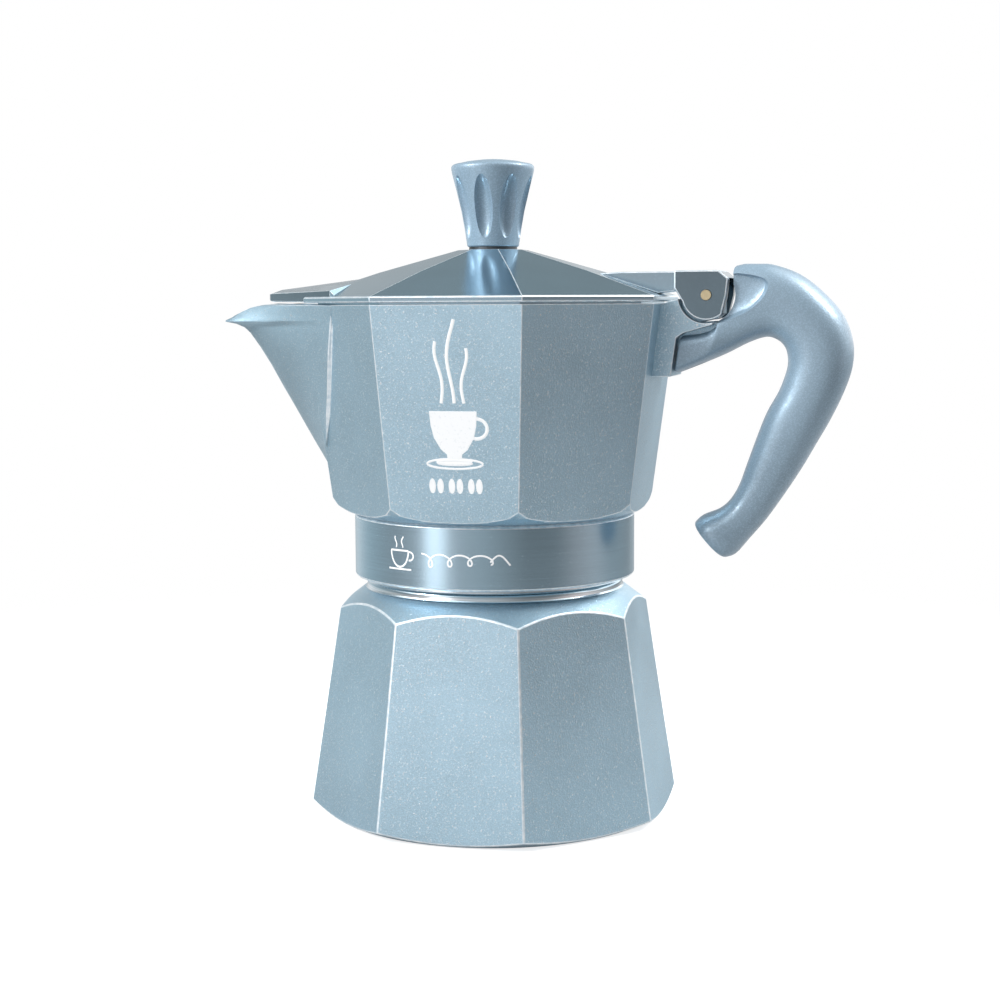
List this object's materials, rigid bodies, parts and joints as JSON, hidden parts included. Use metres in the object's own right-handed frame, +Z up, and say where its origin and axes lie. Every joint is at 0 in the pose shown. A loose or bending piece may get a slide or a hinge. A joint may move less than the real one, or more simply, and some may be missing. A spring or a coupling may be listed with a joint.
{
  "type": "moka pot",
  "caption": "Octagonal stovetop moka pot: tapered boiler, screw-on collector with V spout, hinged pyramid lid with fluted knob, and a curved side handle.",
  "frame": {"origin": "pot's axis at the underside of the boiler's base", "axes": "+Z up along the pot's axis, +X towards the handle, -X towards the spout, +Y towards the safety valve"},
  "size_m": [0.1585, 0.0904, 0.1599],
  "materials": {
    "tinted_aluminium": "cast, satin",
    "bare_aluminium": "pressed, satin",
    "pearl_plastic": "pearl, glossy",
    "brass": "turned",
    "steel": "turned",
    "rubber": "matt",
    "white_print": "printed on"
  },
  "bodies": {
    "boiler": {"boiler": "tinted_aluminium", "valve_body": "brass", "valve_washer": "steel", "valve_seat": "brass", "valve_spring": "steel"},
    "plunger": {"valve_plunger": "steel"},
    "funnel": {"funnel_basket": "bare_aluminium", "funnel_sieve": "bare_aluminium"},
    "gasket": {"gasket": "rubber"},
    "filter": {"filter_plate": "bare_aluminium"},
    "collector": {"collector": "tinted_aluminium", "column": "bare_aluminium", "handle": "pearl_plastic", "handle_screw": "steel"},
    "lid": {"lid": "tinted_aluminium", "hinge_pin": "brass", "knob_washer": "steel", "knob_screw": "steel", "knob_insert": "brass", "lid_knob": "pearl_plastic"}
  },
  "joints": [
    {"name": "lift_off", "type": "slide", "parent": "boiler", "child": "gasket", "axis": [0, 0, 1], "range_m": [0, 0.13]},
    {"name": "thread_lift", "type": "slide", "parent": "gasket", "child": "filter", "axis": [0, 0, 1], "range_m": [0, 0.0066]},
    {"name": "collector_turn", "type": "hinge", "parent": "filter", "child": "collector", "pos_m": [0, 0, 0], "axis": [0, 0, 1], "range_deg": [0, 1080]},
    {"name": "lid_hinge", "type": "hinge", "parent": "collector", "child": "lid", "pos_m": [0.0536, 0, 0.1267], "axis": [0, 1, 0], "range_deg": [0, 90]},
    {"name": "funnel_lift", "type": "slide", "parent": "boiler", "child": "funnel", "axis": [0, 0, 1], "range_m": [0, 0.065]},
    {"name": "valve_lift", "type": "slide", "parent": "boiler", "child": "plunger", "axis": [0, 1, 0], "range_m": [0, 0.0012], "stiffness_N_per_m": 1500, "springref_m": -0.0014, "deforming": ["valve_spring"]}
  ],
  "couplings": [
    {"joint": "thread_lift", "follows": "collector_turn", "m_per_rad": 0.00035014},
    {"joint": "funnel_lift", "follows": "lift_off", "ratio": 0.5}
  ]
}
